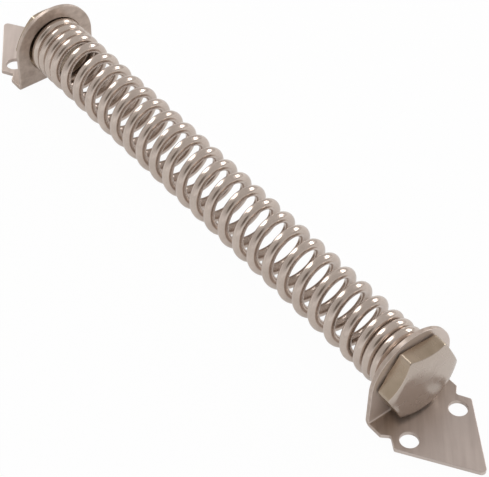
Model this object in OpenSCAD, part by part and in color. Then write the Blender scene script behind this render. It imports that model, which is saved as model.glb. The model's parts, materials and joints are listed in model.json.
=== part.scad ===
// Gate spring closer: a torsion spring between two screw-on brackets.
// X runs along the spring toward the gate end, Z is up from the mounting plane, and the origin is at mid-length.

/* [Overall] */
// Length from leaf tip to leaf tip, mm
overall_l = 279.4; // [250:0.2:340]

/* [Bracket] */
// Sheet thickness, mm
sheet_t = 1.6; // [1:0.1:3]
// Length of the leaf from the flange's outer face to its tip, mm
leaf_l = 36.5; // [32:0.1:48]
// Width of the flange and of the leaf's neck, mm
bracket_w = 33.4; // [32:0.2:40]
// Inside radius of the bend, mm
bend_r = 0.8; // [0.4:0.1:1]
// Length of the neck from the flange to the side notches, mm
neck_l = 5.7; // [4:0.1:9]
// Depth of each side notch, mm
notch_depth = 2.5; // [1:0.1:4]
// Run of the notch's steep side, mm
notch_run = 2.4; // [1.5:0.1:4]
// Run of the notch's long side out to the barb, mm
barb_run = 4.5; // [3:0.1:7]
// Width across the barbs, mm
barb_w = 33.8; // [32:0.2:42]
// Radius of the barb corners and of the notch roots, mm
corner_r = 0.9; // [0.4:0.1:1.2]
// Radius of the leaf's tip, mm
tip_r = 1.6; // [0.8:0.1:3]
// Diameter of the screw holes, mm
hole_d = 6.4; // [4:0.1:7]
// Distance between the two screw holes, mm
hole_spacing = 21.3; // [18:0.1:23]
// Distance of the holes from the flange's outer face, mm
hole_offset = 12.9; // [11:0.1:16]

/* [Plug] */
// Hex size across flats, mm
hex_af = 26; // [22:0.5:28]
// Height of the gate plug's head, mm
gate_head_h = 7.5; // [5:0.1:9]
// Height of the post plug's head, mm
post_head_h = 5.2; // [4:0.1:9]
// Diameter of the head's flat outer face as a share of the hex size
face_share = 0.946; // [0.85:0.005:0.98]
// Slope of the head's chamfer, degrees
chamfer_angle = 30; // [15:1:45]
// Height of the round seat under the head, mm
seat_h = 0.4; // [0.3:0.1:1]
// Turn of both hexes from square with the leaf, degrees
head_turn = -3; // [-6:0.5:6]
// Length of the plug behind its head, mm
plug_l = 13; // [10:0.5:18]

/* [Spring] */
// Outside diameter of the coil, mm
coil_od = 23.4; // [20:0.2:26]
// Wire diameter, mm
wire_d = 4; // [3:0.1:4.4]
// Open turns between the end turns
open_turns = 20.7; // [14:0.1:24]
// Closed turns at the post end
post_closed_turns = 3.4; // [2.5:0.1:5]
// Closed turns at the gate end
gate_closed_turns = 2.8; // [2.5:0.1:5]
// Turns over which the pitch opens at the post end
post_ramp_turns = 0.5; // [0.3:0.1:2]
// Turns over which the pitch closes at the gate end
gate_ramp_turns = 1; // [0.3:0.1:2]
// Angle of the wire's post end about the axis, degrees
coil_start = 26; // [0:1:359]

/* [Clearances] */
// Free height between the hex's lower flat and the leaf, mm
leaf_gap = 1.3; // [1.1:0.1:3]
// Radial running clearance of an end turn in its flange's bore, mm
bore_clearance = 0.2; // [0.15:0.05:0.4]
// Gap between a head's seat and its flange, mm
seat_clearance = 0.05; // [0.02:0.01:0.2]
// Distance of the spring's ends below the flanges' outer faces, mm
end_clearance = 0.1; // [0.1:0.05:0.5]
// Gap between the plug and the spring's bore, mm
grip_clearance = 0.06; // [0.02:0.01:0.3]
// Axial gap between closed turns, mm
closed_gap = 0.1; // [0.05:0.05:0.5]

/* [Hidden] */
$fn = 64;
steel = [0.72, 0.69, 0.66];
wire_steel = [0.78, 0.76, 0.73];
tiny = 0.01;

// Bracket places, for the gate end
axis_z = hex_af / 2 + sheet_t + leaf_gap;
flange_out = overall_l / 2 - leaf_l;
flange_in = flange_out - sheet_t;
bend_outer = bend_r + sheet_t;
leaf_start = flange_out + bend_r;
neck_x = flange_out + neck_l;
notch_x = neck_x + notch_run;
barb_x = notch_x + barb_run;
hole_x = flange_out + hole_offset;
half_w = bracket_w / 2;
notch_y = half_w - notch_depth;
barb_y = barb_w / 2;

// The long edge runs from the barb to the tip circle's tangent
tip_x = overall_l / 2 - tip_r;
barb_to_tip = norm([tip_x - barb_x, barb_y]);
edge_angle = atan2(-barb_y, tip_x - barb_x) + asin(tip_r / barb_to_tip);
edge_l = sqrt(barb_to_tip * barb_to_tip - tip_r * tip_r);
tangent = [barb_x + edge_l * cos(edge_angle), barb_y + edge_l * sin(edge_angle)];

// Spring winding
curl_rings = 8;
wire_sides = 6;
coil_r = (coil_od - wire_d) / 2;
ramp_share = (post_ramp_turns + gate_ramp_turns) / 2;
turns = post_closed_turns + open_turns + gate_closed_turns + 2 * ramp_share;
closed_pitch = wire_d + closed_gap;
wire_first_x = -flange_out + wire_d / 2 + end_clearance;
wire_run = -2 * wire_first_x;
closed_share = post_closed_turns + gate_closed_turns + ramp_share;
open_pitch = (wire_run - closed_pitch * closed_share) / (open_turns + ramp_share);
gate_ramp_start = turns - gate_closed_turns - gate_ramp_turns;
rings = ceil(turns * curl_rings);
turn_step = turns / rings;

// Plug sizes follow the spring's bore, whose chords lie inside its circle
hex_r = hex_af / sqrt(3);
face_r = hex_af * face_share / 2;
chamfer_h = (hex_r - face_r) * tan(chamfer_angle);
plug_r = (coil_r - wire_d / 2) * cos(180 * turn_step) - grip_clearance;
bore_r = coil_od / 2 + bore_clearance;
seat_lip = 0.5;
seat_r = bore_r + seat_lip;
lead_in = 1;

// The wedge between a corner's tip and the circle that rounds it; a fillet adds it and a rounding takes it away
module corner_wedge(corner, toward_a, toward_b, r) {
    side_a = (toward_a - corner) / norm(toward_a - corner);
    side_b = (toward_b - corner) / norm(toward_b - corner);
    half = acos(side_a * side_b) / 2;
    middle = (side_a + side_b) / norm(side_a + side_b);
    difference() {
        polygon([corner, corner + side_a * r / tan(half), corner + side_b * r / tan(half)]);
        translate(corner + middle * r / sin(half)) circle(r);
    }
}

module leaf_outline() {
    start = [leaf_start, half_w];
    neck = [neck_x, half_w];
    notch = [notch_x, notch_y];
    barb = [barb_x, barb_y];
    right = [start, neck, notch, barb, tangent];
    left = [for (i = [len(right) - 1 : -1 : 0]) [right[i][0], -right[i][1]]];
    difference() {
        union() {
            polygon(concat(right, left));
            translate([tip_x, 0]) circle(tip_r);
            for (side = [0, 1])
                mirror([0, side]) corner_wedge(notch, neck, barb, corner_r);
        }
        for (side = [0, 1])
            mirror([0, side]) corner_wedge(barb, notch, tangent, corner_r);
        for (side = [-1, 1])
            translate([hole_x, side * hole_spacing / 2]) circle(d = hole_d);
    }
}

// Drawn with the sheet's width along x and height along y
module flange_outline() {
    difference() {
        union() {
            translate([-half_w, bend_outer]) square([bracket_w, axis_z - bend_outer]);
            intersection() {
                translate([0, axis_z]) circle(half_w);
                translate([-half_w, axis_z - tiny]) square([bracket_w, bracket_w]);
            }
        }
        translate([0, axis_z]) circle(bore_r);
    }
}

// A quarter ring, drawn about the bend's centre
module bend_outline() {
    intersection() {
        difference() {
            circle(bend_outer);
            circle(bend_r);
        }
        translate([-bend_outer, -bend_outer]) square(bend_outer);
    }
}

module bracket() {
    color(steel) {
        translate([flange_in, 0, 0]) rotate([90, 0, 90]) linear_extrude(sheet_t) flange_outline();
        translate([leaf_start, half_w, bend_outer]) rotate([90, 0, 0])
            linear_extrude(bracket_w) bend_outline();
        linear_extrude(sheet_t) leaf_outline();
    }
}

// The head's revolved limit: a flat face with a cone down to the hex corners
module head_limit(head_h) {
    rotate_extrude()
        polygon([
            [0, seat_h],
            [hex_r + tiny, seat_h],
            [hex_r + tiny, head_h - chamfer_h],
            [face_r, head_h],
            [0, head_h]
        ]);
}

module plug(head_h, turn) {
    color(steel) translate([flange_out + seat_clearance, 0, axis_z]) rotate([0, 90, 0]) {
        intersection() {
            rotate(30 + turn) cylinder(h = head_h, r = hex_r, $fn = 6);
            head_limit(head_h);
        }
        cylinder(h = seat_h, r = seat_r);
        translate([0, 0, -plug_l]) {
            cylinder(h = lead_in, r1 = plug_r - lead_in, r2 = plug_r);
            translate([0, 0, lead_in]) cylinder(h = plug_l - lead_in, r = plug_r);
        }
    }
}

// How far the pitch has opened after a count of turns past a ramp's start
function ramp_sum(past, ramp) =
    past <= 0 ? 0 :
    past < ramp ? past * past / (2 * ramp) :
    past - ramp / 2;

function wire_x(turn) =
    wire_first_x + closed_pitch * turn + (open_pitch - closed_pitch) * (
        ramp_sum(turn - post_closed_turns, post_ramp_turns)
        - ramp_sum(turn - gate_ramp_start, gate_ramp_turns)
    );

function wire_point(turn) =
    let (angle = coil_start + 360 * turn)
    [wire_x(turn), coil_r * cos(angle), axis_z + coil_r * sin(angle)];

function unit(v) = v / norm(v);
function outward(turn) = [0, cos(coil_start + 360 * turn), sin(coil_start + 360 * turn)];

// The wire's direction, with its slope taken over a small step
function along(turn) =
    let (
        step = 0.001,
        slope = (wire_x(turn + step) - wire_x(turn - step)) / (2 * step),
        angle = coil_start + 360 * turn
    )
    unit([slope / (2 * PI), -coil_r * sin(angle), coil_r * cos(angle)]);

function ring(centre, turn) =
    let (
        out = outward(turn),
        across = cross(along(turn), out)
    )
    [for (k = [0 : wire_sides - 1])
        centre + wire_d / 2 * (cos(360 * k / wire_sides) * out + sin(360 * k / wire_sides) * across)];

// Each end stops inside its flange's bore, on a last straight length over one wire diameter long
wire_rings = [for (i = [0 : rings]) ring(wire_point(i * turn_step), i * turn_step)];

function flat(lists) = [for (one = lists) for (item = one) item];

module coil_spring() {
    last = len(wire_rings) - 1;
    walls = [for (i = [0 : last - 1]) for (k = [0 : wire_sides - 1])
        let (
            a = i * wire_sides + k,
            b = i * wire_sides + (k + 1) % wire_sides,
            c = a + wire_sides,
            d = b + wire_sides
        )
        each [[a, d, b], [a, c, d]]];
    first_cap = [for (k = [1 : wire_sides - 2]) [0, k, k + 1]];
    last_base = last * wire_sides;
    last_cap = [for (k = [1 : wire_sides - 2]) [last_base, last_base + k + 1, last_base + k]];
    color(wire_steel) polyhedron(points = flat(wire_rings), faces = concat(walls, first_cap, last_cap));
}

// Least gap of the spring to itself, measured on the points of rings about one turn apart
self_gaps = [for (i = [0 : len(wire_rings) - 1]) for (j = [i + curl_rings - 2 : i + curl_rings + 2])
    if (j < len(wire_rings))
        for (p = wire_rings[i]) for (q = wire_rings[j]) norm(p - q)];
echo(least_gap_of_the_spring_to_itself_mm = min(self_gaps));
echo(open_pitch_mm = open_pitch, turns = turns, axis_height_mm = axis_z);

module post_bracket() {
    rotate(180) bracket();
}

module post_plug() {
    rotate(180) plug(post_head_h, -head_turn);
}

module gate_plug() {
    plug(gate_head_h, head_turn);
}

module gate_bracket() {
    bracket();
}

post_bracket();
post_plug();
coil_spring();
gate_plug();
gate_bracket();
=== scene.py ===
import bpy
import bmesh
import json
import math
from mathutils import Matrix, Vector


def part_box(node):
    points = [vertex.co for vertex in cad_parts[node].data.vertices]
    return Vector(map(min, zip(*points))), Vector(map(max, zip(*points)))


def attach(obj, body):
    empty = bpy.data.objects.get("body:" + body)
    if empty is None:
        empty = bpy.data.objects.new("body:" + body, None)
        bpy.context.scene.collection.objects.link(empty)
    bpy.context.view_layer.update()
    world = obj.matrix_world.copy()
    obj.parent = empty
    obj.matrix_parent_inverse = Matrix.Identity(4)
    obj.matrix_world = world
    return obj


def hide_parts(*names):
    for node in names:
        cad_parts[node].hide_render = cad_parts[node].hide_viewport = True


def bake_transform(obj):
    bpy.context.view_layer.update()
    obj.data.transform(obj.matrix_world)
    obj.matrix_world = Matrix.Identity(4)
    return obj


# Lengths are in millimetres, angles in degrees, colours linear and pattern scales per metre
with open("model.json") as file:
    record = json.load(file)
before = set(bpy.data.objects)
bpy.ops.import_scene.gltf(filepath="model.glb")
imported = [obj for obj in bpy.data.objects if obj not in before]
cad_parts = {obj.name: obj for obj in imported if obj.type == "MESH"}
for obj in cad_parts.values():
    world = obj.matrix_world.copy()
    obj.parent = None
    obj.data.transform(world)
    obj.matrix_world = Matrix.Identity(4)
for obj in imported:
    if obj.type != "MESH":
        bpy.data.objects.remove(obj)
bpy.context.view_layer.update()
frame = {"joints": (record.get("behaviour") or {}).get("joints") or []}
mm = 0.001
axisHeight = Vector(frame["joints"][0]["pos_m"]).z


# Steel finishes: clouds and grain run from colour to pale, edges are paler still, and painted light pales the
# ends and the faces that look outward
steelLook = {
    "tintStops": (0.34, 0.68),  # pattern values at colour and at pale
    "cloudDetail": 5.0,
    "patternRoughness": 0.6,
    "outwardLightFacing": (0.35, 0.70),  # how far a face looks outward where the painted outward light starts and is full
    "paleEdge": (0.52, 0.62),  # pointiness where the paler edge starts and is full
    "glossGrain": (0.3, 0.7),  # grain values at the two roughnesses
    "bumpDepth": 0.3,
}
bracketFinish = {
    "colour": (0.42, 0.335, 0.28),
    "pale": (0.68, 0.575, 0.505),
    "endPaintedLight": (0.65, 0.57, 0.54),
    "ends": (105.0, 119.0),  # distances from the middle over which the end colour comes in: painted light makes the leaf paler away from the flange and plug, and painted shade leaves it darker near them
    "endPaintedShare": 0.55,
    "outwardPaintedLight": (0.79, 0.695, 0.635),  # painted light on faces that look away from the middle, such as the flange's outer face
    "edge": (0.74, 0.68, 0.65),
    "cloudScale": 70.0,
    "grainScale": 420.0,
    "grainDetail": 4.0,
    "grainShare": 0.6,
    # turned so the streaks run along the camera's line of sight over the leaf
    "grainTurn": 141.0,
    "grainStretch": (0.08, 1.0, 1.0),
    "metallic": 0.56,
    "roughness": (0.28, 0.44),
    "bump": 0.12,
}
plugFinish = {
    "colour": (0.35, 0.27, 0.19),
    "pale": (0.48, 0.38, 0.285),
    # painted light and reflection: the chamfer and outer face paler than the hex flats
    "outwardPaintedLight": (0.57, 0.49, 0.43),
    "edge": (0.64, 0.56, 0.47),
    "cloudScale": 110.0,
    "grainScale": 190.0,
    "grainDetail": 1.0,
    "grainShare": 0.4,
    "grainTurn": 0.0,
    "grainStretch": (0.7, 1.0, 1.0),
    "metallic": 0.82,
    "roughness": (0.20, 0.32),
    "bump": 0.40,
}
wireFinish = {
    "colour": (0.54, 0.455, 0.40),
    "pale": (0.67, 0.575, 0.51),
    # painted light: the closed end turns are paler, for the light that fills the grooves between them
    "endPaintedLight": (0.62, 0.53, 0.465),
    "ends": (90.0, 101.0),
    "endPaintedShare": 1.0,
    "edge": (0.70, 0.62, 0.56),
    "cloudScale": 130.0,
    "grainScale": 1400.0,
    "grainDetail": 3.0,
    "grainShare": 0.1,
    "grainTurn": 0.0,
    "grainStretch": (1.0, 1.0, 1.0),
    "metallic": 0.87,
    "roughness": (0.15, 0.23),
    "bump": 0.04,
}
nodeSpacing = 180.0  # in the node editor


def feed(tree, socket, value):
    if isinstance(value, bpy.types.NodeSocket):
        tree.links.new(value, socket)
    else:
        socket.default_value = value


def addNode(tree, kind, **inputs):
    made = tree.nodes.new(kind)
    made.location.x = nodeSpacing * len(tree.nodes)
    for name, value in inputs.items():
        feed(tree, made.inputs[name], value)
    return made


def mathNode(tree, operation, *values):
    made = addNode(tree, "ShaderNodeMath")
    made.operation = operation
    for position, value in enumerate(values):
        feed(tree, made.inputs[position], value)
    return made.outputs[0]


def rangeNode(tree, value, start, full, low=0.0, high=1.0):
    limits = {"From Min": start, "From Max": full, "To Min": low, "To Max": high}
    return addNode(tree, "ShaderNodeMapRange", Value=value, **limits)


def solid(colour):
    return (*colour, 1.0)


def mixColour(tree, share, under, over):
    made = addNode(tree, "ShaderNodeMix")
    made.data_type = "RGBA"
    feed(tree, made.inputs["Factor"], share)
    feed(tree, made.inputs["A"], under)
    feed(tree, made.inputs["B"], over)
    return made.outputs["Result"]


def alongX(tree, vector):
    return addNode(tree, "ShaderNodeSeparateXYZ", Vector=vector).outputs["X"]


def steelMaterial(name, finish):
    material = bpy.data.materials.new(name)
    material.use_nodes = True
    tree = material.node_tree
    shader = tree.nodes["Principled BSDF"]
    coords = addNode(tree, "ShaderNodeTexCoord").outputs
    cloud = addNode(tree, "ShaderNodeTexNoise", Vector=coords["Object"], Scale=finish["cloudScale"],
                    Detail=steelLook["cloudDetail"], Roughness=steelLook["patternRoughness"]).outputs["Fac"]
    turn = -math.radians(finish["grainTurn"])
    turned = addNode(tree, "ShaderNodeMapping", Vector=coords["Object"], Rotation=(0, 0, turn)).outputs[0]
    drawn = addNode(tree, "ShaderNodeMapping", Vector=turned, Scale=finish["grainStretch"]).outputs[0]
    grain = addNode(tree, "ShaderNodeTexNoise", Vector=drawn, Scale=finish["grainScale"],
                    Detail=finish["grainDetail"], Roughness=steelLook["patternRoughness"]).outputs["Fac"]
    tone = addNode(tree, "ShaderNodeMix", Factor=finish["grainShare"], A=cloud, B=grain)
    tint = addNode(tree, "ShaderNodeValToRGB", Fac=tone.outputs["Result"])
    for stop, position, key in zip(tint.color_ramp.elements, steelLook["tintStops"], ("colour", "pale")):
        stop.position = position
        stop.color = solid(finish[key])
    colour = tint.outputs["Color"]
    place = alongX(tree, coords["Object"])
    # Painted light and shade: the colour changes with distance from the middle, for light and shade that fall
    # differently toward the ends
    if "endPaintedLight" in finish:
        start, full = (distance * mm for distance in finish["ends"])
        fromMiddle = mathNode(tree, "ABSOLUTE", place)
        paintedEnd = rangeNode(tree, fromMiddle, start, full, high=finish["endPaintedShare"]).outputs["Result"]
        colour = mixColour(tree, paintedEnd, colour, solid(finish["endPaintedLight"]))
    # Painted light: faces that look away from the middle are made paler, for the light and reflection they
    # catch
    if "outwardPaintedLight" in finish:
        outward = mathNode(tree, "MULTIPLY", mathNode(tree, "SIGN", place), alongX(tree, coords["Normal"]))
        outer = rangeNode(tree, outward, *steelLook["outwardLightFacing"]).outputs["Result"]
        colour = mixColour(tree, outer, colour, solid(finish["outwardPaintedLight"]))
    pointiness = addNode(tree, "ShaderNodeNewGeometry").outputs["Pointiness"]
    paleEdges = rangeNode(tree, pointiness, *steelLook["paleEdge"]).outputs["Result"]
    gloss = rangeNode(tree, grain, *steelLook["glossGrain"], *finish["roughness"]).outputs["Result"]
    bump = addNode(tree, "ShaderNodeBump", Height=grain, Strength=finish["bump"],
                   Distance=steelLook["bumpDepth"] * mm)
    feed(tree, shader.inputs["Base Color"], mixColour(tree, paleEdges, colour, solid(finish["edge"])))
    feed(tree, shader.inputs["Metallic"], finish["metallic"])
    feed(tree, shader.inputs["Roughness"], gloss)
    feed(tree, shader.inputs["Normal"], bump.outputs["Normal"])
    return material


bracketSteel = steelMaterial("bracket_steel", bracketFinish)
plugSteel = steelMaterial("plug_steel", plugFinish)
wireSteel = steelMaterial("spring_wire", wireFinish)
print("finishes made")

sharpAngle = 50.0  # edges that turn more than this stay sharp


def linked(piece):
    bpy.context.scene.collection.objects.link(piece)
    return piece


def meshPiece(name, mesh, material):
    mesh.materials.clear()
    mesh.materials.append(material)
    return linked(bpy.data.objects.new(name, mesh))


def grownMesh(maker):
    bpy.context.view_layer.update()
    return bpy.data.meshes.new_from_object(maker.evaluated_get(bpy.context.evaluated_depsgraph_get()))


# Flat faces keep flat normals beside their rounded edges
def evenNormals(piece):
    piece.data.shade_smooth()
    piece.data.set_sharp_from_angle(angle=math.radians(sharpAngle))
    modifier = piece.modifiers.new("even_normals", "WEIGHTED_NORMAL")
    modifier.keep_sharp = True
    mesh = grownMesh(piece)
    piece.modifiers.remove(modifier)
    piece.data = mesh


# Spring: round wire on a helix whose pitch closes at both ends
spring = {
    "wire": 3.96,
    "postClosedTurns": 3.4,
    "postRampTurns": 0.5,
    "openTurns": 20.7,
    "gateRampTurns": 1.0,
    "gateClosedTurns": 2.8,
    "closedPitch": 4.1,
    "startAngle": 26.0,
    "endInset": 2.1,  # from a flange's outer face to the middle of the wire's end
    "ringsPerTurn": 48,
    "sides": 20,
}


# How far the pitch has opened after a count of turns past a ramp's start
def rampSum(tree, past, ramp):
    eased = mathNode(tree, "MINIMUM", mathNode(tree, "MAXIMUM", past, 0.0), ramp)
    squared = mathNode(tree, "MULTIPLY", eased, eased)
    curved = mathNode(tree, "DIVIDE", squared, mathNode(tree, "MULTIPLY", ramp, 2.0))
    beyond = mathNode(tree, "MAXIMUM", mathNode(tree, "SUBTRACT", past, ramp), 0.0)
    return mathNode(tree, "ADD", curved, beyond)


def springTree():
    tree = bpy.data.node_groups.new("wound_wire", "GeometryNodeTree")
    face = tree.interface
    face.new_socket("Geometry", in_out="OUTPUT", socket_type="NodeSocketGeometry")
    sizes = ("Coil Radius", "Wire Radius", "Axis Height", "Start X", "Closed Pitch", "Open Pitch", "Turns",
             "Post Closed Turns", "Post Ramp Turns", "Gate Ramp Start", "Gate Ramp Turns", "Start Angle")
    kinds = dict.fromkeys(sizes, "NodeSocketFloat")
    kinds.update({"Rings": "NodeSocketInt", "Sides": "NodeSocketInt", "Wire": "NodeSocketMaterial"})
    sockets = {name: face.new_socket(name, in_out="INPUT", socket_type=kind).identifier
               for name, kind in kinds.items()}
    given = addNode(tree, "NodeGroupInput").outputs
    index = addNode(tree, "GeometryNodeInputIndex").outputs[0]
    share = mathNode(tree, "DIVIDE", index, mathNode(tree, "SUBTRACT", given["Rings"], 1.0))
    turn = mathNode(tree, "MULTIPLY", share, given["Turns"])
    angle = mathNode(tree, "MULTIPLY_ADD", turn, math.tau, given["Start Angle"])
    pastPost = mathNode(tree, "SUBTRACT", turn, given["Post Closed Turns"])
    pastGate = mathNode(tree, "SUBTRACT", turn, given["Gate Ramp Start"])
    opened = rampSum(tree, pastPost, given["Post Ramp Turns"])
    shut = rampSum(tree, pastGate, given["Gate Ramp Turns"])
    widened = mathNode(tree, "SUBTRACT", given["Open Pitch"], given["Closed Pitch"])
    closedX = mathNode(tree, "MULTIPLY_ADD", turn, given["Closed Pitch"], given["Start X"])
    x = mathNode(tree, "MULTIPLY_ADD", mathNode(tree, "SUBTRACT", opened, shut), widened, closedX)
    y = mathNode(tree, "MULTIPLY", mathNode(tree, "COSINE", angle), given["Coil Radius"])
    rise = mathNode(tree, "SINE", angle)
    z = mathNode(tree, "MULTIPLY_ADD", rise, given["Coil Radius"], given["Axis Height"])
    place = addNode(tree, "ShaderNodeCombineXYZ", X=x, Y=y, Z=z)
    line = addNode(tree, "GeometryNodeMeshLine", Count=given["Rings"])
    wound = addNode(tree, "GeometryNodeSetPosition", Geometry=line.outputs[0], Position=place.outputs[0])
    path = addNode(tree, "GeometryNodeMeshToCurve")
    section = addNode(tree, "GeometryNodeCurvePrimitiveCircle", Resolution=given["Sides"],
                      Radius=given["Wire Radius"])
    swept = {"Profile Curve": section.outputs[0], "Fill Caps": True}
    sweep = addNode(tree, "GeometryNodeCurveToMesh", **swept)
    smooth = addNode(tree, "GeometryNodeSetShadeSmooth")
    real = addNode(tree, "GeometryNodeRealizeInstances")
    coat = addNode(tree, "GeometryNodeSetMaterial", Material=given["Wire"])
    out = addNode(tree, "NodeGroupOutput")
    chain = (wound, path, sweep, smooth, real, coat, out)
    for node, nextNode in zip(chain, chain[1:]):
        tree.links.new(node.outputs[0], nextNode.inputs[0])
    return tree, sockets


def makeSpring():
    low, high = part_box("coil_spring")
    turns = sum(spring[key] for key in ("postClosedTurns", "postRampTurns", "openTurns",
                                        "gateRampTurns", "gateClosedTurns"))
    rampShare = (spring["postRampTurns"] + spring["gateRampTurns"]) / 2
    closedShare = spring["postClosedTurns"] + spring["gateClosedTurns"] + rampShare
    closedPitch = spring["closedPitch"] * mm
    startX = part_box("post_bracket")[1].x - (bracket["sheet"] - spring["endInset"]) * mm
    openPitch = (-2 * startX - closedPitch * closedShare) / (turns - closedShare)
    tree, sockets = springTree()
    values = {
        "Coil Radius": (high.y - low.y) / 2 - spring["wire"] / 2 * mm,
        "Wire Radius": spring["wire"] / 2 * mm,
        "Axis Height": axisHeight,
        "Start X": startX,
        "Closed Pitch": closedPitch,
        "Open Pitch": openPitch,
        "Turns": turns,
        "Post Closed Turns": spring["postClosedTurns"],
        "Post Ramp Turns": spring["postRampTurns"],
        "Gate Ramp Start": turns - spring["gateClosedTurns"] - spring["gateRampTurns"],
        "Gate Ramp Turns": spring["gateRampTurns"],
        "Start Angle": math.radians(spring["startAngle"]),
        "Rings": round(turns * spring["ringsPerTurn"]) + 1,
        "Sides": spring["sides"],
        "Wire": wireSteel,
    }
    maker = linked(bpy.data.objects.new("spring_maker", bpy.data.meshes.new("spring_maker")))
    modifier = maker.modifiers.new("wound_wire", "NODES")
    modifier.node_group = tree
    for name, value in values.items():
        modifier[sockets[name]] = value
    mesh = grownMesh(maker)
    maker.modifiers.remove(modifier)
    bpy.data.objects.remove(maker)
    piece = meshPiece("wound_spring", mesh, wireSteel)
    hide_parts("coil_spring")
    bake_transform(piece)
    print("spring made,", round(turns, 1), "turns, open pitch", round(openPitch / mm, 2), "mm")


# Bracket: a flat blank with rounded edges, folded into a leaf and a flange
bracket = {
    "sheet": 1.6,
    "bendRadius": 0.8,
    "bendSteps": 8,
    "width": 33.4,
    "neck": 5.7,
    "neckRound": 0.4,
    "notchDepth": 2.5,
    "notchRun": 2.4,
    "barbRun": 4.5,
    "barbWidth": 33.8,
    "cornerRound": 0.9,
    "tipRound": 1.6,
    "holeSize": 6.4,
    "holeSpacing": 21.3,
    "holeOffset": 12.9,
    "boreSize": 23.55,
    "edgeRound": 0.22,
    "edgeSteps": 3,
    "cornerSteps": 8,
    "topSteps": 64,  # round the flange's top, and round its bore
    "holeSteps": 48,
    "mergeGap": 0.001,
}


# Corners are (along, across, radius), in order round the outline
def roundedOutline(corners, steps):
    points = []
    for position, (along, across, radius) in enumerate(corners):
        corner = Vector((along, across))
        if radius == 0:
            points.append(corner)
            continue
        toBefore = (Vector(corners[position - 1][:2]) - corner).normalized()
        toAfter = (Vector(corners[(position + 1) % len(corners)][:2]) - corner).normalized()
        half = toBefore.angle(toAfter) / 2
        centre = corner + (toBefore + toAfter).normalized() * radius / math.sin(half)
        first = corner + toBefore * radius / math.tan(half) - centre
        last = corner + toAfter * radius / math.tan(half) - centre
        begin = math.atan2(first.y, first.x)
        sweep = (math.atan2(last.y, last.x) - begin + math.pi) % math.tau - math.pi
        for step in range(steps + 1):
            angle = begin + sweep * step / steps
            points.append(centre + Vector((math.cos(angle), math.sin(angle))) * radius)
    return points


def circlePoints(along, across, radius, count):
    angles = [math.tau * step / count for step in range(count)]
    return [Vector((along + radius * math.cos(angle), across + radius * math.sin(angle))) for angle in angles]


# Distances along the blank start at the flange's outer face and run toward the tip
def blankLoops(leafLength):
    half = bracket["width"] / 2
    notchX = bracket["neck"] + bracket["notchRun"]
    barbX = notchX + bracket["barbRun"]
    barbY = bracket["barbWidth"] / 2
    tipX = leafLength - bracket["tipRound"]
    toTip = math.hypot(tipX - barbX, barbY)
    slope = math.atan2(barbY, tipX - barbX) - math.asin(bracket["tipRound"] / toTip)
    apex = barbX + barbY / math.tan(slope)
    side = [(bracket["neck"], half, bracket["neckRound"]),
            (notchX, half - bracket["notchDepth"], bracket["cornerRound"]),
            (barbX, barbY, bracket["cornerRound"])]
    otherSide = [(along, -across, radius) for along, across, radius in reversed(side)]
    flangeX = flangeCentre()
    corners = [(flangeX, half, 0), *side, (apex, 0, bracket["tipRound"]), *otherSide, (flangeX, -half, 0)]
    angles = [math.pi * step / bracket["topSteps"] for step in range(1, bracket["topSteps"])]
    top = [Vector((flangeX - half * math.sin(angle), -half * math.cos(angle))) for angle in angles]
    loops = [roundedOutline(corners, bracket["cornerSteps"]) + top,
             circlePoints(flangeX, 0, bracket["boreSize"] / 2, bracket["topSteps"])]
    for sign in (-1, 1):
        loops.append(circlePoints(bracket["holeOffset"], sign * bracket["holeSpacing"] / 2,
                                  bracket["holeSize"] / 2, bracket["holeSteps"]))
    return loops


# The bend takes up the length of its middle line
def bendLength():
    return (bracket["bendRadius"] + bracket["sheet"] / 2) * math.pi / 2


def flangeCentre():
    straight = axisHeight / mm - bracket["bendRadius"] - bracket["sheet"]
    return bracket["bendRadius"] - bendLength() - straight


# Where a point of the blank lies once the flange is folded up
def folded(along, across, depth):
    past = bracket["bendRadius"] - along
    outer = bracket["bendRadius"] + bracket["sheet"]
    if past <= 0:
        return Vector((along, across, depth))
    if past >= bendLength():
        return Vector((depth - bracket["sheet"], across, outer + past - bendLength()))
    angle = past / bendLength() * math.pi / 2
    reach = outer - depth
    return Vector((bracket["bendRadius"] - reach * math.sin(angle), across, outer - reach * math.cos(angle)))


def blankMesh(leafLength):
    curve = bpy.data.curves.new("blank", "CURVE")
    curve.dimensions = "2D"
    curve.fill_mode = "BOTH"
    curve.extrude = bracket["sheet"] / 2 - bracket["edgeRound"]
    curve.bevel_depth = bracket["edgeRound"]
    curve.bevel_resolution = bracket["edgeSteps"]
    curve.offset = -bracket["edgeRound"]
    for loop in blankLoops(leafLength):
        spline = curve.splines.new("POLY")
        spline.points.add(len(loop) - 1)
        for point, spot in zip(spline.points, loop):
            point.co = (spot.x, spot.y, 0, 1)
        spline.use_cyclic_u = True
    maker = linked(bpy.data.objects.new("blank", curve))
    mesh = grownMesh(maker)
    bpy.data.objects.remove(maker)
    return mesh


def makeBracket(node, body, sign):
    low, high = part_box(node)
    leafLength = (high.x - low.x) / mm - bracket["sheet"]
    outerFace = (low.x if sign > 0 else -high.x) + bracket["sheet"] * mm
    mesh = blankMesh(leafLength)
    work = bmesh.new()
    work.from_mesh(mesh)
    bmesh.ops.remove_doubles(work, verts=work.verts, dist=bracket["mergeGap"])
    for step in range(bracket["bendSteps"] + 1):
        crease = bracket["bendRadius"] - bendLength() * step / bracket["bendSteps"]
        bmesh.ops.bisect_plane(work, geom=work.verts[:] + work.edges[:] + work.faces[:],
                               dist=bracket["mergeGap"], plane_co=(crease, 0, 0), plane_no=(1, 0, 0))
    for vert in work.verts:
        spot = folded(vert.co.x, vert.co.y, vert.co.z + bracket["sheet"] / 2) * mm
        vert.co = Vector((sign * (outerFace + spot.x), sign * spot.y, spot.z))
    bmesh.ops.recalc_face_normals(work, faces=work.faces)
    work.to_mesh(mesh)
    work.free()
    piece = meshPiece(node + "_sheet", mesh, bracketSteel)
    evenNormals(piece)
    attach(piece, body)
    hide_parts(node)


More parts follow.
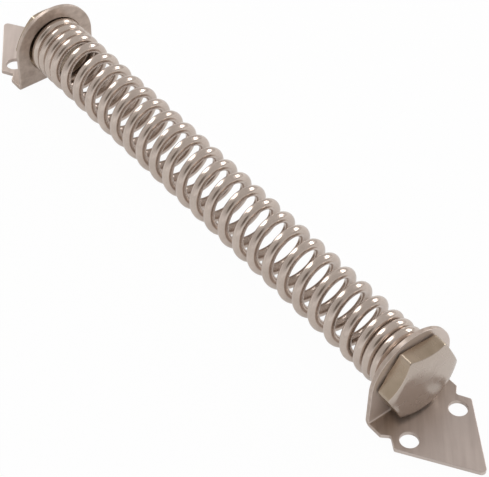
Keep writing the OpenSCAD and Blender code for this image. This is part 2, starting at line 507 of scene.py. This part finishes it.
# Plug: a chamfered hex head on a round spigot
plug = {
    "acrossFlats": 26.0,
    "cornerRound": 1.1,
    "gateHead": 7.5,
    "postHead": 5.2,
    "faceShare": 0.946,  # of the width across flats, where the chamfer meets the outer face
    "faceSoftness": 1.4,
    "faceDome": 0.3,
    "chamferAngle": 30.0,
    "seatSize": 24.8,
    "seatHeight": 0.4,
    "spigotPlay": 1.3,
    "leadIn": 1.0,
    "edgeRound": 0.35,
    "seatEdge": ((0, 1), (0.3, 0.3), (1, 0)),  # (rise, inset) as shares of edgeRound
    "faceEdge": ((1.2, 0), (0.45, 0.2), (0, 1)),  # (drop, inset) as shares of edgeRound
    "turn": -3.0,
    "segments": 180,
    "faceRows": 16,
}


def hexRadius(angle):
    flat = plug["acrossFlats"] / 2
    inset = flat - plug["cornerRound"]
    halfSide = math.pi / 6
    offFlat = (angle + halfSide) % (2 * halfSide) - halfSide
    if abs(offFlat) <= math.atan(inset * math.tan(halfSide) / flat):
        return flat / math.cos(offFlat)
    offCorner = halfSide - abs(offFlat)
    centre = inset / math.cos(halfSide)
    across = centre * math.sin(offCorner)
    return centre * math.cos(offCorner) + math.sqrt(plug["cornerRound"] ** 2 - across ** 2)


# Height of the chamfered, slightly domed outer face at a distance from the axis
def faceHeight(headHeight, reach):
    faceRadius = plug["acrossFlats"] * plug["faceShare"] / 2
    past = reach - faceRadius
    eased = (past + math.hypot(past, plug["faceSoftness"])) / 2
    dome = plug["faceDome"] * (reach / faceRadius) ** 2
    return headHeight - eased * math.tan(math.radians(plug["chamferAngle"])) - dome


# Rows of (height, radius) from the spigot's end to the middle of the outer face
def plugRows(headHeight, spigotLength, spigotRadius, edgeReach):
    seat = plug["seatHeight"]
    edge = plug["edgeRound"]
    rim = faceHeight(headHeight, edgeReach - edge)
    rows = [(-spigotLength, spigotRadius - plug["leadIn"]), (plug["leadIn"] - spigotLength, spigotRadius),
            (0, spigotRadius), (0, plug["seatSize"] / 2), (seat, plug["seatSize"] / 2)]
    rows += [(seat + rise * edge, edgeReach - inset * edge) for rise, inset in plug["seatEdge"]]
    rows += [(rim - drop * edge, edgeReach - inset * edge) for drop, inset in plug["faceEdge"]]
    for row in range(1, plug["faceRows"] + 1):
        reach = (edgeReach - edge) * (1 - row / (plug["faceRows"] + 0.5))  # stops half a row off the axis
        rows.append((faceHeight(headHeight, reach), reach))
    return rows


# The spigot lies inside the spring's end turns
def spigotSize():
    low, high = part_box("coil_spring")
    return (high.y - low.y) / mm - 2 * spring["wire"] - plug["spigotPlay"]


def makePlug(node, body, sign, headHeight):
    low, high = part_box(node)
    inner, outer = sorted((sign * low.x, sign * high.x))
    seatX = outer - headHeight * mm
    spigotLength = (seatX - inner) / mm
    spigotRadius = spigotSize() / 2
    count = plug["segments"]
    work = bmesh.new()
    rings = []
    for step in range(count):
        angle = math.tau * step / count
        reach = hexRadius(angle - math.radians(90 + plug["turn"]))  # turned from a flat on top
        for row, (height, radius) in enumerate(plugRows(headHeight, spigotLength, spigotRadius, reach)):
            if step == 0:
                rings.append([])
            rings[row].append(work.verts.new((sign * (seatX + height * mm), radius * mm * math.cos(angle),
                                              axisHeight + radius * mm * math.sin(angle))))
    for ring, nextRing in zip(rings, rings[1:]):
        for step in range(count):
            work.faces.new((ring[step - 1], ring[step], nextRing[step], nextRing[step - 1]))
    work.faces.new(rings[0])
    work.faces.new(rings[-1])
    bmesh.ops.recalc_face_normals(work, faces=work.faces)
    mesh = bpy.data.meshes.new(node + "_hex")
    work.to_mesh(mesh)
    work.free()
    piece = meshPiece(node + "_hex", mesh, plugSteel)
    evenNormals(piece)
    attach(piece, body)
    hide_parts(node)


makeSpring()
makeBracket("post_bracket", "post_leaf", -1)
makeBracket("gate_bracket", "gate_leaf", 1)
print("brackets made")
makePlug("post_plug", "post_end", -1, plug["postHead"])
makePlug("gate_plug", "gate_end", 1, plug["gateHead"])
print("plugs made")


# Floor, room, lamps and camera
stage = {
    "floorSize": 6000.0,
    "floorColour": (0.86, 0.86, 0.86),
    "floorRoughness": 0.85,
    "floorWhite": 0.97,  # share of plain white that the camera sees, the rest keeps the shadow
    "floorShown": 0.48,  # the same for what the steel mirrors
    "roomColour": (0.58, 0.56, 0.545),
    "darkColour": (0.12, 0.095, 0.075),
    "darkSide": (0.48, -0.48, 0.735),
    "darkSpread": (0.87, 0.99),  # cosines from the dark side where it starts and is full
    "backdropHeight": (0.12, 0.55),  # a direction's Z where the mirrored backdrop starts to fade and is gone
    "frontSide": (0.64, -0.77, 0.0),
    "frontSpread": (-0.2, 0.9),  # cosines from the front where the backdrop starts and is full
}
lampDistance = 1000.0
lamps = {
    "left_strip": {
        "azimuth": 177.0,
        "elevation": 33.0,
        "roll": -7.0,
        "width": 320.0,
        "height": 1700.0,
        "power": 5.2,
    },
    "back_box": {
        "azimuth": 86.0,
        "elevation": 25.0,
        "roll": 16.0,
        "width": 640.0,
        "height": 210.0,
        "power": 2.3,
    },
}
view = {
    "lens": 122.03,
    "sensor": 36.0,
    "nearest": 10.0,
    "place": (332.8, -257.4, 421.9),
    "look": (-0.5420, 0.4420, -0.7147),
    "roll": 1.67,
}


def raysToWhite(tree):
    rays = addNode(tree, "ShaderNodeLightPath").outputs
    seen = mathNode(tree, "MAXIMUM", rays["Is Camera Ray"], rays["Is Transmission Ray"])
    return seen, rays["Is Glossy Ray"]


def mixToOutput(tree, share, lit, white, output):
    mix = addNode(tree, "ShaderNodeMixShader", Fac=share)
    tree.links.new(lit.outputs[0], mix.inputs[1])
    tree.links.new(white.outputs[0], mix.inputs[2])
    tree.links.new(mix.outputs[0], tree.nodes[output].inputs["Surface"])


def makeFloor():
    material = bpy.data.materials.new("pale_floor")
    material.use_nodes = True
    tree = material.node_tree
    shader = tree.nodes["Principled BSDF"]
    shader.inputs["Base Color"].default_value = solid(stage["floorColour"])
    shader.inputs["Roughness"].default_value = stage["floorRoughness"]
    white = addNode(tree, "ShaderNodeEmission")
    seen, glossy = raysToWhite(tree)
    seenShare = mathNode(tree, "MULTIPLY", seen, stage["floorWhite"])
    shownShare = mathNode(tree, "MULTIPLY", glossy, stage["floorShown"])
    mixToOutput(tree, mathNode(tree, "MAXIMUM", seenShare, shownShare), shader, white, "Material Output")
    half = stage["floorSize"] / 2 * mm
    corners = [(-half, -half, 0), (half, -half, 0), (half, half, 0), (-half, half, 0)]
    mesh = bpy.data.meshes.new("floor")
    mesh.from_pydata(corners, [], [(0, 1, 2, 3)])
    meshPiece("floor", mesh, material)


# Cosine between a direction and one side of the room
def towardSide(tree, direction, side):
    made = addNode(tree, "ShaderNodeVectorMath")
    made.operation = "DOT_PRODUCT"
    feed(tree, made.inputs[0], direction)
    feed(tree, made.inputs[1], Vector(side).normalized())
    return made.outputs["Value"]


def makeRoom():
    world = bpy.data.worlds.new("studio")
    bpy.context.scene.world = world
    world.use_nodes = True
    tree = world.node_tree
    room = tree.nodes["Background"]
    direction = addNode(tree, "ShaderNodeTexCoord").outputs["Generated"]
    darkness = rangeNode(tree, towardSide(tree, direction, stage["darkSide"]), *stage["darkSpread"])
    darkness.interpolation_type = "SMOOTHSTEP"
    colour = mixColour(tree, darkness.outputs["Result"], solid(stage["roomColour"]),
                       solid(stage["darkColour"]))
    tree.links.new(colour, room.inputs["Color"])
    white = addNode(tree, "ShaderNodeBackground", Color=solid((1, 1, 1)))
    front = rangeNode(tree, towardSide(tree, direction, stage["frontSide"]), *stage["frontSpread"])
    height = addNode(tree, "ShaderNodeSeparateXYZ", Vector=direction).outputs["Z"]
    full, gone = stage["backdropHeight"]
    backdrop = rangeNode(tree, height, gone, full)
    shown = mathNode(tree, "MULTIPLY", backdrop.outputs["Result"], front.outputs["Result"])
    seen, glossy = raysToWhite(tree)
    share = mathNode(tree, "MAXIMUM", seen, mathNode(tree, "MULTIPLY", glossy, shown))
    mixToOutput(tree, share, room, white, "World Output")


def makeLamp(name, lamp):
    data = bpy.data.lights.new(name, "AREA")
    data.shape = "RECTANGLE"
    data.size = lamp["width"] * mm
    data.size_y = lamp["height"] * mm
    data.energy = lamp["power"]
    piece = linked(bpy.data.objects.new(name, data))
    turn = math.radians(lamp["azimuth"])
    rise = math.radians(lamp["elevation"])
    toward = Vector((math.cos(rise) * math.cos(turn), math.cos(rise) * math.sin(turn), math.sin(rise)))
    piece.location = toward * lampDistance * mm
    facing = (-toward).to_track_quat("-Z", "Y").to_matrix().to_4x4()
    piece.rotation_euler = (facing @ Matrix.Rotation(math.radians(lamp["roll"]), 4, "Z")).to_euler()


def makeCamera():
    data = bpy.data.cameras.new("photo_camera")
    data.lens = view["lens"]
    data.sensor_width = view["sensor"]
    data.clip_start = view["nearest"] * mm
    camera = linked(bpy.data.objects.new("photo_camera", data))
    facing = Vector(view["look"]).to_track_quat("-Z", "Y").to_matrix().to_4x4()
    roll = Matrix.Rotation(math.radians(view["roll"]), 4, "Z")
    camera.matrix_world = Matrix.Translation(Vector(view["place"]) * mm) @ facing @ roll
    bpy.context.scene.camera = camera


makeFloor()
makeRoom()
for lampName, lampValues in lamps.items():
    makeLamp(lampName, lampValues)
makeCamera()
bpy.context.scene.view_settings.view_transform = "Standard"
print("stage made")
